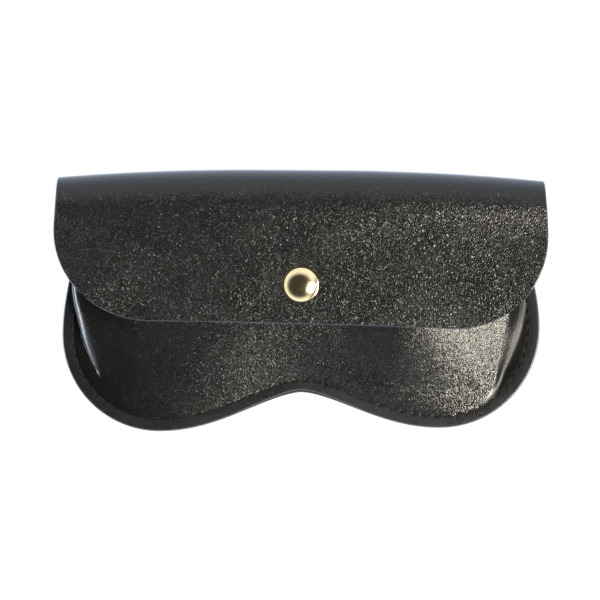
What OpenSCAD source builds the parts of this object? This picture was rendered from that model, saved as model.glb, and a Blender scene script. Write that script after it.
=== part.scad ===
// Soft leather glasses pouch with a fold-over flap and a ring-spring snap.
// The pouch lies on its back: X runs across its width, Y towards the fold of
// the flap, and Z up out of its front. The origin is on the surface it lies
// on, under the middle of its box.

/* [Leather] */
// Thickness of the leather
leather_t = 1.4; // [1:0.1:2]
// Gap between leather pieces that turn against each other
leather_gap = 0.3; // [0.2:0.05:0.5]

/* [Pouch outline] */
// Height of the closed pouch, from the lobes to the fold
case_h = 89; // [84:0.5:96]
// Width across the two lobes
pouch_w = 164.8; // [150:0.2:180]
// Radius of the lobes' outer corners
lobe_r = 34; // [30:0.5:38]
// Height of the nose notch above the lobes
notch_h = 12.9; // [8:0.1:18]
// How pointed the notch is: 1 is a plain wave, less is sharper
notch_shape = 0.8; // [0.7:0.05:1]
// Width at the mouth, where the sides draw in
mouth_w = 155.6; // [145:0.2:165]
// Distance from the fold down to the mouth
mouth_drop = 17.5; // [15:0.5:20]

/* [Front panel] */
// How far the front panel is trimmed back from the back panel's edge
front_trim = 0.3; // [0:0.1:1]
// Width of the flat seam margin beside the mouth
margin_mouth = 4.2; // [4:0.1:6]
// Width of the flat seam margin lower down the sides
margin_side = 8.6; // [6:0.1:10]
// Width of the flat seam margin along the lobes and the notch
margin_low = 4.6; // [4.2:0.1:5]
// Rise of the side walls, in height per width
wall_rise = 3; // [1.5:0.1:4]
// Rise of the front along the lobes
low_rise = 0.45; // [0.3:0.05:0.8]
// Rounding between the walls and the front
wall_round = 3; // [1:0.1:4]
// How much lower the front is at its sides than in its middle
front_crown = 2; // [0:0.1:3]

/* [Flap] */
// Outer radius of the roll where the flap folds over
roll_r = 10.2; // [9:0.1:11]
// Slope of the flap, which falls towards the lobes
flap_tilt = 5.5; // [4:0.1:7]
// Width of the flap
flap_w = 166.8; // [150:0.2:180]
// Width of the leather at the fold
fold_w = 165.6; // [150:0.2:178]
// How much smaller the roll's radius is at its two ends
roll_taper = 1.6; // [0:0.1:2]
// How far the roll's two ends lie below its middle
roll_bow = 1.4; // [0:0.1:2]
// Distance from the fold down to the flap's lower edge
flap_drop = 52.4; // [48:0.1:56]
// Radius of the flap's lower corners
flap_corner_r = 32.5; // [20:0.5:36]

/* [Seam] */
// Distance of the seam from the back panel's edge
seam_inset = 3.8; // [3:0.1:4]
// Length of a stitch, from hole to hole
stitch_pitch = 3.9; // [3:0.1:5]
// Share of the stitch length that shows between two holes
stitch_shown = 0.82; // [0.6:0.01:0.9]
// Diameter of the sewing thread
thread_d = 0.7; // [0.5:0.05:0.8]
// How far a stitch stands out of the leather
stitch_proud = 0.45; // [0.3:0.05:0.6]
// Distance of the seam's ends from the mouth
seam_end = 2.5; // [2:0.5:6]

/* [Snap fastener] */
// Distance from the fold down to the middle of the snap
snap_drop = 38.6; // [36:0.1:41]
// Diameter of the cap
cap_d = 12.5; // [10:0.5:15]
// Height of the cap's dome above the leather
cap_h = 2; // [1.5:0.1:2.6]
// Diameter of the socket's flange
socket_d = 10.6; // [9.6:0.1:12]
// Height of the socket
socket_h = 3.3; // [3.2:0.05:3.6]
// Diameter of the socket's opening
socket_mouth_d = 6.3; // [6.2:0.05:6.35]
// Diameter of the stud's base
stud_base_d = 10; // [9:0.1:12]
// Diameter of the stud's neck
stud_neck_d = 4.4; // [4.3:0.05:4.5]
// Diameter of the stud's bulged head
stud_head_d = 5; // [4.9:0.05:5.1]
// Diameter of the eyelet's flange inside the pouch
eyelet_d = 9.6; // [8:0.1:11]
// Outer diameter of the two rivet posts
post_d = 3.4; // [3:0.05:3.5]
// Wall of the two rivet posts
post_wall = 0.5; // [0.35:0.05:0.6]
// Thickness of the pressed sheet metal
sheet_t = 0.5; // [0.4:0.05:0.5]
// Radial clearance of the posts in their holes
post_fit = 0.05; // [0.03:0.01:0.1]
// Wire diameter of the ring spring
spring_wire_d = 0.8; // [0.6:0.05:0.8]
// Opening in the ring spring, in degrees
spring_split = 30; // [20:1:60]

/* [Hidden] */

leather_color = "#1c1c1f";
thread_color = "#0d0d0f";
brass_color = "#d8b04a";
spring_color = "#b9923c";

// Smoothness of true curves, and steps along the sampled outline
curve_fn = 96;
wave_steps = 14;
arc_steps = 12;
side_steps = 12;
sheet_columns = 24;
roll_steps = 12;
slope_steps = 3;

// Places along Y that the outline hangs on
low_y = -case_h / 2;
top_y = case_h / 2;
lobe_y = low_y + lobe_r;
lobe_x = pouch_w / 2 - lobe_r;
mouth_y = top_y - mouth_drop;
snap_y = top_y - snap_drop;
flap_low_y = top_y - flap_drop;

// The roll's axis, its inner and middle radii, and the top of the flap's slope
roll_in = roll_r - leather_t;
roll_mid = roll_r - leather_t / 2;
roll_y = top_y - roll_r;
roll_z = roll_r;
slope_top_y = roll_y - roll_r * sin(flap_tilt);

// A quarter turn of leather straightens about a line just outside its bend
unfold_angle = 90;
unfold_rad = unfold_angle * PI / 180;
pivot_r = roll_mid * (cos(unfold_angle / 2)
    + (unfold_rad - sin(unfold_angle)) / (2 * sin(unfold_angle / 2)));
rear_pivot_angle = -45;
front_pivot_angle = (90 + flap_tilt) / 2;
rear_pivot = [roll_y + pivot_r * cos(rear_pivot_angle), roll_z + pivot_r * sin(rear_pivot_angle)];
front_pivot = [roll_y + pivot_r * cos(front_pivot_angle), roll_z + pivot_r * sin(front_pivot_angle)];

// The snap's stack, counted up from the front panel's outer face
stud_gap = 0.3;
snap_stack = sheet_t + stud_gap + socket_h;
head_gap = 0.4;
head_round = 0.45;
lip_t = 0.4;
flare_t = 0.45;
stud_top = snap_stack - sheet_t - flare_t - head_gap;
cap_flare = 0.6;
eyelet_flare = 0.2;
cap_flare_r = post_d / 2 + cap_flare;
eyelet_flare_r = post_d / 2 + eyelet_flare;
seat_play = 0.03;
spring_play = 0.2;
post_hole_r = post_d / 2 + post_fit;

// The snap's seat: the flap's inner face is roll_in from the roll's axis
seat_level = roll_in - snap_stack;
seat_along = (snap_y - roll_y + seat_level * sin(flap_tilt)) / cos(flap_tilt);
seat_z = roll_z + seat_along * sin(flap_tilt) + seat_level * cos(flap_tilt);

function mix(a, b, t) = a + (b - a) * t;
function ramp(a, b, x) = let (t = min(1, max(0, (x - a) / (b - a)))) t * t * (3 - 2 * t);
function wave(t) = (1 - cos(180 * t)) / 2;
function flipped(points) = [for (i = [len(points) - 1:-1:0]) [-points[i].x, points[i].y]];
function smooth_min(a, b, k) =
    let (h = max(0, min(1, 0.5 + (b - a) / (2 * k)))) mix(b, a, h) - k * h * (1 - h);

// Half of the outline's width at a height above the lobes' centres
function side_x(y) = y < mouth_y
    ? mix(pouch_w / 2, mouth_w / 2, wave((y - lobe_y) / (mouth_y - lobe_y)))
    : mix(mouth_w / 2, fold_w / 2, wave(min(1, (y - mouth_y) / (roll_y - mouth_y))));

// Right half of the lower outline, from the notch round the lobe to the mouth
function half_outline() = concat(
    [for (i = [0:wave_steps - 1])
        let (t = i / wave_steps) [lobe_x * t, low_y + notch_h * (1 - wave(pow(t, notch_shape)))]],
    [for (i = [0:arc_steps - 1])
        let (a = -90 + 90 * i / arc_steps) [lobe_x + lobe_r * cos(a), lobe_y + lobe_r * sin(a)]],
    [for (i = [0:side_steps]) let (y = mix(lobe_y, mouth_y, i / side_steps)) [side_x(y), y]]);

// The whole lower outline, from the mouth's left end to its right end
function seam_outline() =
    let (half = half_outline())
    concat(flipped([for (i = [1:len(half) - 1]) half[i]]), half);

// Outward directions along the outline, square to the mouth at its ends
function outward(path) = [for (i = [0:len(path) - 1])
    i == 0 ? [-1, 0] : i == len(path) - 1 ? [1, 0] :
    let (d = path[i + 1] - path[i - 1]) [d.y, -d.x] / norm(d)];

outline = seam_outline();
normals = outward(outline);
last = len(outline) - 1;

function inset(d) = [for (i = [0:last]) outline[i] - d * normals[i]];

function joined(lists) = [for (list = lists) each list];

// Leather with its outer points, the directions out of it there, the triangles
// that join them, and the order of the points round its rim.
module leather_solid(points, out, triangles, rim) {
    count = len(points);
    rim_faces = joined([for (k = [0:len(rim) - 1])
        let (a = rim[k], b = rim[(k + 1) % len(rim)])
        [[a, b, b + count], [a, b + count, a + count]]]);
    polyhedron(
        points = concat(points, [for (i = [0:count - 1]) points[i] - leather_t * out[i]]),
        faces = concat(triangles, [for (f = triangles) count * [1, 1, 1] + [f[2], f[1], f[0]]], rim_faces),
        convexity = 8);
}

// Triangles between the points of m + 1 columns that have n + 1 points each
function sheet_triangles(m, n) =
    joined([for (i = [0:m - 1]) joined([for (j = [0:n - 1])
        let (a = i * (n + 1) + j, b = a + n + 1)
        [[a, a + 1, b + 1], [a, b + 1, b]]])]);

// A sheet of leather, from columns of pairs of a point and the direction out
module leather_sheet(columns) {
    m = len(columns) - 1;
    n = len(columns[0]) - 1;
    pairs = joined(columns);
    function at(i, j) = i * (n + 1) + j;
    leather_solid(
        [for (p = pairs) p[0]], [for (p = pairs) p[1]], sheet_triangles(m, n),
        concat([for (i = [0:m]) at(i, 0)], [for (j = [1:n]) at(m, j)],
               [for (i = [m - 1:-1:0]) at(i, n)], [for (j = [n - 1:-1:1]) at(0, j)]));
}

// The roll is level over the snap, and grows smaller towards its two ends.
shares_across = [for (i = [0:sheet_columns]) 2 * i / sheet_columns - 1];
function droop(x) = pow(max(0, abs(x) - snap_flat) / (fold_w / 2 - snap_flat), 2);
function roll_r_at(x) = roll_r - roll_taper * droop(x);
function gap_angle(x) = leather_gap / (roll_r_at(x) - leather_t / 2) * 180 / PI;

// A point of the rolled leather and the direction out of it: at an angle round
// the roll, and then a way on down the flap's slope
function rolled(x, angle, run = 0) =
    [[x, roll_y - roll_bow * droop(x) + roll_r_at(x) * cos(angle) - run * cos(flap_tilt),
      roll_r_at(x) * (1 + sin(angle)) - run * sin(flap_tilt)],
     [0, cos(angle), sin(angle)]];

// Back panel: flat, sewn round its lower edge, with the start of the roll.
join_y = mix(mouth_y, roll_y, 0.5);
module back_shape() {
    lip = [for (i = [1:side_steps])
        let (y = mix(mouth_y, join_y, i / side_steps)) [side_x(y), y]];
    polygon(concat(flipped(lip), outline, lip));
}

module rear_roll() {
    rear_steps = roll_steps / 2;
    lip_steps = side_steps / 2;
    leather_sheet([for (u = shares_across)
        let (fold_x = u * fold_w / 2, end = rear_pivot_angle - gap_angle(fold_x) / 2,
             start_y = rolled(fold_x, -90)[0].y)
        concat(
            [for (k = [0:rear_steps]) rolled(fold_x, mix(end, -90, k / rear_steps))],
            [for (k = [1:lip_steps])
                let (t = k / lip_steps)
                [[u * side_x(mix(roll_y, join_y, t)), mix(start_y, join_y, t), 0], [0, 0, -1]]])]);
}

module back_panel() {
    groove_r = thread_d / 2 + seat_play;
    groove_depth = thread_d + seat_play;
    color(leather_color)
        difference() {
            union() {
                linear_extrude(leather_t)
                    back_shape();
                rear_roll();
            }
            translate([0, 0, -seat_play])
                linear_extrude(groove_depth + seat_play)
                    polygon(concat(inset(seam_inset - groove_r), [for (i = [last:-1:0])
                        outline[i] - (seam_inset + groove_r) * normals[i]]));
        }
}

// The front panel's face follows the flap's slope round the snap, and falls
// away in a curve below it, to the seam margin at the lobes.
margin_z = 2 * leather_t;
flat_room = 1.5;
snap_flat = stud_base_d + 2 * flat_room;
curve_y = snap_y - snap_flat / 2;
toe_y = low_y + margin_low;
function slope_z(y) = seat_z + (y - snap_y) * tan(flap_tilt);

// From the notch the front rises just enough to reach the snap's flat seat
notch_reach = curve_y - (low_y + notch_h + front_trim + margin_low);
notch_rise = (slope_z(curve_y) + wall_round - margin_z) / notch_reach;
face_fall = (slope_z(toe_y) - margin_z) / pow(curve_y - toe_y, 2);
function face_z(y) = slope_z(y) - face_fall * pow(max(0, curve_y - y), 2);

// Heights between which the margin widens up the sides, narrows again to the
// mouth, and the walls stand up
widen_y = [low_y + lobe_r * 0.1, low_y + lobe_r * 0.5];
narrow_y = [lobe_y - lobe_r * 0.4, lobe_y + lobe_r * 0.5];
stand_y = [low_y + lobe_r * 0.25, lobe_y + lobe_r * 0.25];
function within(range, at) = ramp(range[0], range[1], at);

// Height of the front panel's outer face. at is the place, depth its distance
// from the panel's edge, and edge the nearest point of that edge.
function front_z(at, depth, edge) =
    let (side = ramp(lobe_x, lobe_x + lobe_r / 2, abs(edge.x)),
         margin = mix(margin_low, mix(margin_side, margin_mouth, within(narrow_y, edge.y)),
                      side * within(widen_y, edge.y)),
         low = mix(notch_rise, low_rise, ramp(0, lobe_x, abs(edge.x))),
         rise = mix(low, wall_rise, side * within(stand_y, edge.y)),
         bow = front_crown * pow(max(0, abs(at.x) - snap_flat) / (pouch_w / 2 - snap_flat), 2),
         face = face_z(at.y) - bow - margin_z,
         wall = rise * max(0, depth - margin))
    margin_z + max(0, smooth_min(face, wall, min(wall_round, max(0.01, wall))));

// Distances from the edge at which the front panel is sampled, close together
// over the walls, then shares of the way on to the middle of the mouth.
wall_step = 1.1;
wall_end = margin_side + 4;
front_depths = concat([0, seam_inset / 2, seam_inset],
                      [for (d = [margin_mouth + wall_step / 2:wall_step:wall_end]) d],
                      [wall_end + 2 * wall_step, wall_end + 4 * wall_step]);
front_shares = [0.2, 0.4, 0.6, 0.8];

function front_ray(i) =
    let (edge = outline[i] - front_trim * normals[i],
         deep = front_depths[len(front_depths) - 1],
         inner = edge - deep * normals[i],
         hub = [0, mouth_y])
    concat(
        [for (d = front_depths) let (p = edge - d * normals[i]) [p.x, p.y, front_z(p, d, edge)]],
        [for (s = front_shares)
            let (p = mix(inner, hub, s), d = deep + s * norm(hub - inner))
            [p.x, p.y, front_z(p, d, edge)]]);

// Outward directions of a sampled surface of rows and columns
function surface_normals(rows) =
    let (m = len(rows) - 1, n = len(rows[0]) - 1)
    [for (i = [0:m]) [for (j = [0:n])
        let (along = rows[min(m, i + 1)][j] - rows[max(0, i - 1)][j],
             inward = rows[i][min(n, j + 1)] - rows[i][max(0, j - 1)],
             square_to = cross(along, inward))
        square_to / norm(square_to)]];

// A fan of leather: columns of points from the edge to one middle point
module leather_fan(columns, hub, hub_normal) {
    m = len(columns) - 1;
    n = len(columns[0]) - 1;
    middle = (m + 1) * (n + 1);
    function at(i, j) = i * (n + 1) + j;
    leather_solid(
        concat(joined(columns), [hub]), concat(joined(surface_normals(columns)), [hub_normal]),
        concat(sheet_triangles(m, n), [for (i = [0:m - 1]) [at(i, n), middle, at(i + 1, n)]]),
        concat([for (i = [0:m]) at(i, 0)], [for (j = [1:n]) at(m, j)], [middle],
               [for (j = [n:-1:1]) at(0, j)]));
}

// Front panel: a flat seam margin, side walls, and a face that rises from the
// lobes to the mouth.
module front_panel() {
    hub_at = [0, mouth_y];
    hub = [0, mouth_y, front_z(hub_at, pouch_w / 2, outline[0])];
    color(leather_color)
        difference() {
            leather_fan([for (i = [0:last]) front_ray(i)], hub, [0, -sin(flap_tilt), cos(flap_tilt)]);
            at_snap(-2 * leather_t)
                cylinder(h = 3 * leather_t, r = post_hole_r, $fn = curve_fn);
        }
}

// Fold strip: the top of the roll, between the two lines where the leather
// bends when the flap is opened.
module fold_strip() {
    color(leather_color)
        leather_sheet([for (u = shares_across)
            let (x = u * fold_w / 2, gap = gap_angle(x) / 2)
            [for (k = [0:roll_steps])
                rolled(x, mix(front_pivot_angle - gap, rear_pivot_angle + gap, k / roll_steps))]]);
}

// Flap: the front of the roll and the cover, with two large round corners.
function flap_spot(x, y) = rolled(x, 90 + flap_tilt, (slope_top_y - y) / cos(flap_tilt));
function flap_column(u) =
    let (corner_x = flap_w / 2 - flap_corner_r,
         corner_y = flap_low_y + flap_corner_r,
         fold_x = u * fold_w / 2,
         end = front_pivot_angle + gap_angle(fold_x) / 2)
    concat(
        [for (k = [0:arc_steps])
            let (a = 90 * k / arc_steps)
            flap_spot(u * (corner_x + flap_corner_r * sin(a)), corner_y - flap_corner_r * cos(a))],
        [for (k = [1:slope_steps])
            let (t = k / slope_steps)
            flap_spot(u * mix(flap_w, fold_w, wave(t)) / 2, mix(corner_y, slope_top_y, t))],
        [for (k = [1:roll_steps / 2]) rolled(fold_x, mix(90 + flap_tilt, end, 2 * k / roll_steps))]);

module flap() {
    color(leather_color)
        difference() {
            leather_sheet([for (u = shares_across) flap_column(u)]);
            at_snap(snap_stack - leather_t)
                cylinder(h = 3 * leather_t, r = post_hole_r, $fn = curve_fn);
        }
}

// Seam: stitches lie end to end along a line inside the outline.
function lengths(path) = [for (i = 0, s = 0; i < len(path);
    s = s + (i + 1 < len(path) ? norm(path[i + 1] - path[i]) : 0), i = i + 1) s];
function place(path, run, s) =
    let (k = max([for (i = [0:len(path) - 2]) if (run[i] <= s) i]),
         t = (s - run[k]) / (run[k + 1] - run[k]))
    mix(path[k], path[k + 1], t);

// One stitch is a shallow arc of thread whose ends go into the leather.
module stitch(length) {
    rise = stitch_proud + thread_d / 2;
    bend_r = (pow(length / 2, 2) + rise * rise) / (2 * rise);
    turn = 2 * asin(length / 2 / bend_r);
    rotate([90, 0, 0])
        translate([0, stitch_proud - thread_d / 2 - bend_r])
            rotate(90 - turn / 2)
                rotate_extrude(angle = turn, $fn = curve_fn)
                    translate([bend_r, 0])
                        circle(thread_d / 2, $fn = curve_fn);
}

module seam() {
    path = inset(seam_inset);
    run = lengths(path);
    sewn = run[last] - 2 * seam_end;
    count = round(sewn / stitch_pitch);
    pitch = sewn / count;
    for (k = [0:count - 1]) {
        from = place(path, run, seam_end + k * pitch);
        to = place(path, run, seam_end + (k + 1) * pitch);
        way = to - from;
        translate((from + to) / 2)
            rotate(atan2(way.y, way.x))
                stitch(stitch_shown * norm(way));
    }
}

module needle_thread() {
    color(thread_color)
        translate([0, 0, margin_z])
            seam();
}

// The bobbin thread lies in a groove, just under the back panel's face.
module bobbin_thread() {
    color(thread_color)
        translate([0, 0, stitch_proud + seat_play])
            mirror([0, 0, 1])
                seam();
}

// Snap fastener: every piece turns about one line through the flap and the
// front panel, and is placed by its height above the front panel.
module at_snap(level) {
    translate([0, snap_y, seat_z])
        rotate([flap_tilt, 0, 0])
            translate([0, 0, level])
                children();
}

module turned() {
    rotate_extrude($fn = curve_fn)
        children();
}

// A ring's section, between two radii and two heights
module ring(r1, r2, z1, z2) {
    translate([r1, z1])
        square([r2 - r1, z2 - z1]);
}

// Cap: a shallow pressed dome with a hollow post that is flared in the socket.
module snap_cap() {
    face = snap_stack + leather_t;
    cap_r = cap_d / 2;
    rim_r = sheet_t / 2;
    dome_h = cap_h - rim_r;
    dome_r = (cap_r * cap_r + dome_h * dome_h) / (2 * dome_h);
    post_r = post_d / 2;
    flare_top = snap_stack - sheet_t;
    color(brass_color)
        at_snap(0)
            turned()
                union() {
                    difference() {
                        intersection() {
                            translate([0, face + cap_h - dome_r])
                                circle(dome_r, $fn = curve_fn);
                            ring(0, cap_r, face + rim_r, face + cap_h);
                        }
                        translate([0, face + cap_h - dome_r])
                            circle(dome_r - sheet_t, $fn = curve_fn);
                    }
                    ring(cap_r - 2 * sheet_t, cap_r, face, face + rim_r);
                    ring(post_r - post_wall, post_r, flare_top - flare_t, face + cap_h - sheet_t);
                    ring(post_r - post_wall, cap_flare_r, flare_top - flare_t, flare_top);
                }
}

// Socket: a flange against the flap and a cup whose lip holds the spring.
module snap_socket() {
    base = sheet_t + stud_gap;
    mouth_r = socket_mouth_d / 2;
    cup_in = mouth_r + spring_wire_d;
    cup_out = cup_in + sheet_t;
    color(brass_color)
        at_snap(0)
            turned()
                union() {
                    ring(post_hole_r, socket_d / 2, snap_stack - sheet_t, snap_stack);
                    ring(cup_in, cup_out, base, snap_stack);
                    ring(mouth_r, cup_out, base, base + lip_t);
                }
}

// Spring: a split ring of wire that closes round the stud's neck.
module snap_spring() {
    wire_r = spring_wire_d / 2;
    ring_r = stud_neck_d / 2 + wire_r + spring_play;
    color(spring_color)
        at_snap(sheet_t + stud_gap + lip_t + wire_r + seat_play)
            rotate(90 + spring_split / 2)
                rotate_extrude(angle = 360 - spring_split, $fn = curve_fn)
                    translate([ring_r, 0])
                        circle(wire_r, $fn = curve_fn);
}

// Stud: a base on the front panel and a hollow neck with a bulged head.
module snap_stud() {
    head_r = stud_head_d / 2;
    color(brass_color)
        at_snap(0)
            turned()
                difference() {
                    union() {
                        ring(0, stud_base_d / 2, seat_play, sheet_t);
                        ring(0, stud_neck_d / 2, seat_play, stud_top - head_round);
                        ring(0, head_r - head_round, seat_play, stud_top);
                        translate([head_r - head_round, stud_top - head_round])
                            circle(head_round, $fn = curve_fn);
                    }
                    ring(-post_d, post_hole_r, 0, stud_top + head_round);
                    ring(0, eyelet_flare_r + post_fit, stud_top - flare_t, stud_top + head_round);
                }
}

// Eyelet: a flanged rivet from inside the pouch, flared in the stud's head.
module snap_eyelet() {
    post_r = post_d / 2;
    inside = -leather_t - seat_play;
    flare_top = stud_top - post_fit;
    color(brass_color)
        at_snap(0)
            turned()
                union() {
                    ring(post_r - post_wall, eyelet_d / 2, inside - sheet_t, inside);
                    ring(post_r - post_wall, post_r, inside - sheet_t, flare_top);
                    ring(post_r - post_wall, eyelet_flare_r, flare_top - flare_t + 2 * post_fit, flare_top);
                }
}

back_panel();
front_panel();
fold_strip();
flap();
needle_thread();
bobbin_thread();
snap_cap();
snap_socket();
snap_spring();
snap_stud();
snap_eyelet();
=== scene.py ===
import math
from bisect import bisect_right

import bmesh
import bpy
from mathutils import Matrix, Vector, kdtree, noise
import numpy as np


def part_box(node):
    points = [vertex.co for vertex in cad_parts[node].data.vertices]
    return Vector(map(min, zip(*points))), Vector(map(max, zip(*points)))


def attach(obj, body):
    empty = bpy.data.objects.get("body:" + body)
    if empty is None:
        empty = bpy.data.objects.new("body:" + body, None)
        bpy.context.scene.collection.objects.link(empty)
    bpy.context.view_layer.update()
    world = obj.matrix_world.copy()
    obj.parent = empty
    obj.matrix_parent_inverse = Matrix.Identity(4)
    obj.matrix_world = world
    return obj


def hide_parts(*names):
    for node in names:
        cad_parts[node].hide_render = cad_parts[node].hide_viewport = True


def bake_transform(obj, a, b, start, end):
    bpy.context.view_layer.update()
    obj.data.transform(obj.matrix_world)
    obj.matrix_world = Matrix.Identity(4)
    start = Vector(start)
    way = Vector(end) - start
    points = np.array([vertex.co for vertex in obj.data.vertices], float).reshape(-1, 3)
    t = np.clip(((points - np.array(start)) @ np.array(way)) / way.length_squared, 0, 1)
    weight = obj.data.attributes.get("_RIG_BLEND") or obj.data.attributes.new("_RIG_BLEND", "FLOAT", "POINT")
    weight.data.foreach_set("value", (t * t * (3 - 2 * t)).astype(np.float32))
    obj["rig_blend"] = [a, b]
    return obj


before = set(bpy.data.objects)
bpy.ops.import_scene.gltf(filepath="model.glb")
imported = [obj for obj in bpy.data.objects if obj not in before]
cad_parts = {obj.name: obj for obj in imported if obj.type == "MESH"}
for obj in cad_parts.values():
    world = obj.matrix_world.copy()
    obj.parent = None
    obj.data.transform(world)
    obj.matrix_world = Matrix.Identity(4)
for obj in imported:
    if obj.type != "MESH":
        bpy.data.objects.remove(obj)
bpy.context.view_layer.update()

# Back: one cut of thick black cowhide that runs on over the top as the flap.
# It is cut flat, its edges are painted, and one row of stitches holds it to
# the front; here it ends at the top of the roll, where the flap piece starts.
mm = 0.001
hair = 0.01 * mm
weld = 0.001 * mm
leather_t = 1.4 * mm
low_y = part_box("back_panel")[0].y
top_y = -low_y
fold_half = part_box("fold_strip")[1].x
front_trim = 0.3 * mm
pouch_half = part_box("front_panel")[1].x + front_trim
roll_r = 10.2 * mm
roll_y = top_y - roll_r
lobe_r = 34 * mm
lobe_x = pouch_half - lobe_r
lobe_y = low_y + lobe_r
notch_h = 12.9 * mm
notch_shape = 0.8
mouth_half = 77.8 * mm
mouth_y = top_y - 17.5 * mm
flap_tilt = math.radians(5.5)
seam_inset = 3.8 * mm
seam_end = 2.5 * mm
stitch_pitch = 3.9 * mm
columns_per_stitch = 4
mouth_columns = 3
side_columns = 8
rim_round = 0.35 * mm
pattern_size = 0.2
level_half = 13 * mm
end_droop = 1.6 * mm
end_sag = 1.4 * mm
pouch_skew = 0.0124
fold_skew = -0.008
groove_depth = 0.45 * mm
groove_half = 0.7 * mm
hole_half = 0.6 * mm
pull_between_holes = 0.6
stretch_starts = 0.2
stretch_full = 1.2
stretch_eases = 2.2
stretch_ends = 3.3


def mix(a, b, t):
    return a + (b - a) * t


def ramp(start, end, x):
    t = min(1, max(0, (x - start) / (end - start)))
    return t * t * (3 - 2 * t)


def wave(t):
    return (1 - math.cos(math.pi * t)) / 2


def hump(x, half_width):
    return math.exp(-((x / half_width) ** 2))


def side_x(y):
    """Half of the cut's width beside the pouch: a slight waist at the mouth."""
    if y < mouth_y:
        return mix(pouch_half, mouth_half, wave((y - lobe_y) / (mouth_y - lobe_y)))
    return mix(mouth_half, fold_half, wave((y - mouth_y) / (roll_y - mouth_y)))


def half_outline(steps=160):
    """Right half of the cut edge, from the nose notch round the lobe to the fold."""
    shares = [i / steps for i in range(steps + 1)]
    notch = [(lobe_x * t, low_y + notch_h * (1 - wave(t**notch_shape))) for t in shares[:-1]]
    turns = [math.pi / 2 * t for t in shares[:-1]]
    lobe = [(lobe_x + lobe_r * math.sin(a), lobe_y - lobe_r * math.cos(a)) for a in turns]
    side = [(side_x(y), y) for y in (mix(lobe_y, roll_y, t) for t in shares)]
    return [Vector(p) for p in notch + lobe + side]


def outward(line):
    """Directions square to the edge, straight down at the notch and sideways past the mouth."""
    found = [Vector((0, -1))]
    for before, here, after in zip(line[:-2], line[1:-1], line[2:]):
        run = (after - before).normalized() if here.y < mouth_y else Vector((0, 1))
        found.append(Vector((run.y, -run.x)))
    return [*found, Vector((1, 0))]


edge_line = half_outline()
edge_out = outward(edge_line)
seam_line = [p - seam_inset * n for p, n in zip(edge_line, edge_out)]
seam_run = [0.0]
for before, after in zip(seam_line[:-1], seam_line[1:]):
    seam_run.append(seam_run[-1] + (after - before).length)


def edge_at(run):
    """The cut edge and its outward direction, a way along the seam from the notch."""
    k = min(bisect_right(seam_run, run), len(seam_run) - 1) - 1
    t = (run - seam_run[k]) / (seam_run[k + 1] - seam_run[k])
    edge = edge_line[k].lerp(edge_line[k + 1], t)
    return edge, edge_out[k].lerp(edge_out[k + 1], t).normalized()


def spread(a, b, count):
    """Even steps from a to b, without a itself."""
    return [mix(a, b, (i + 1) / count) for i in range(count)]


mouth_run = next(r for r, p in zip(seam_run, edge_line) if p.y >= mouth_y - hair)
half_stitches = round((mouth_run - seam_end) / stitch_pitch)
pitch = (mouth_run - seam_end) / half_stitches
front_columns = [0, *spread(0, mouth_run - seam_end, half_stitches * columns_per_stitch)]
front_columns += spread(mouth_run - seam_end, mouth_run, mouth_columns)
back_columns = front_columns + spread(mouth_run, seam_run[-1], side_columns)
lobe_corner = Vector((lobe_x, lobe_y)) + lobe_r * Vector((1, -1)).normalized()
corner_column = min(range(len(front_columns)),
                    key=lambda k: (edge_at(front_columns[k])[0] - lobe_corner).length)


def cut_panel(columns, depths, trim):
    """A flat panel, grain side up: rows of faces follow the cut edge, a grid fills the middle."""
    last = len(columns) - 1
    across = 2 * corner_column
    upward = last - corner_column

    def spot(column, depth):
        edge, out = edge_at(columns[abs(column)])
        p = edge - (depth + trim(edge.x)) * out
        return Vector((math.copysign(p.x, column) if column else 0, p.y, 0))

    def inner(column):
        return spot(column, depths[-1])

    def filled(i, j):
        u = i / across
        v = j / upward
        bottom = inner(i - corner_column)
        top = inner(-last).lerp(inner(last), u)
        left = inner(-corner_column - j)
        right = inner(corner_column + j)
        lower = inner(-corner_column).lerp(inner(corner_column), u)
        upper = inner(-last).lerp(inner(last), u)
        return bottom.lerp(top, v) + left.lerp(right, u) - lower.lerp(upper, v)

    bm = bmesh.new()
    rows = len(depths) - 1
    margin = bmesh.ops.create_grid(bm, x_segments=2 * last, y_segments=rows, size=1)["verts"]
    for v in margin:
        column = round((v.co.x + 1) * last) - last
        v.co = spot(column, depths[round((v.co.y + 1) / 2 * rows)])
    middle = bmesh.ops.create_grid(bm, x_segments=across, y_segments=upward, size=1)["verts"]
    for v in middle:
        v.co = filled(round((v.co.x + 1) / 2 * across), round((v.co.y + 1) / 2 * upward))
    bmesh.ops.remove_doubles(bm, verts=bm.verts, dist=weld)
    return bm


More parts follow.
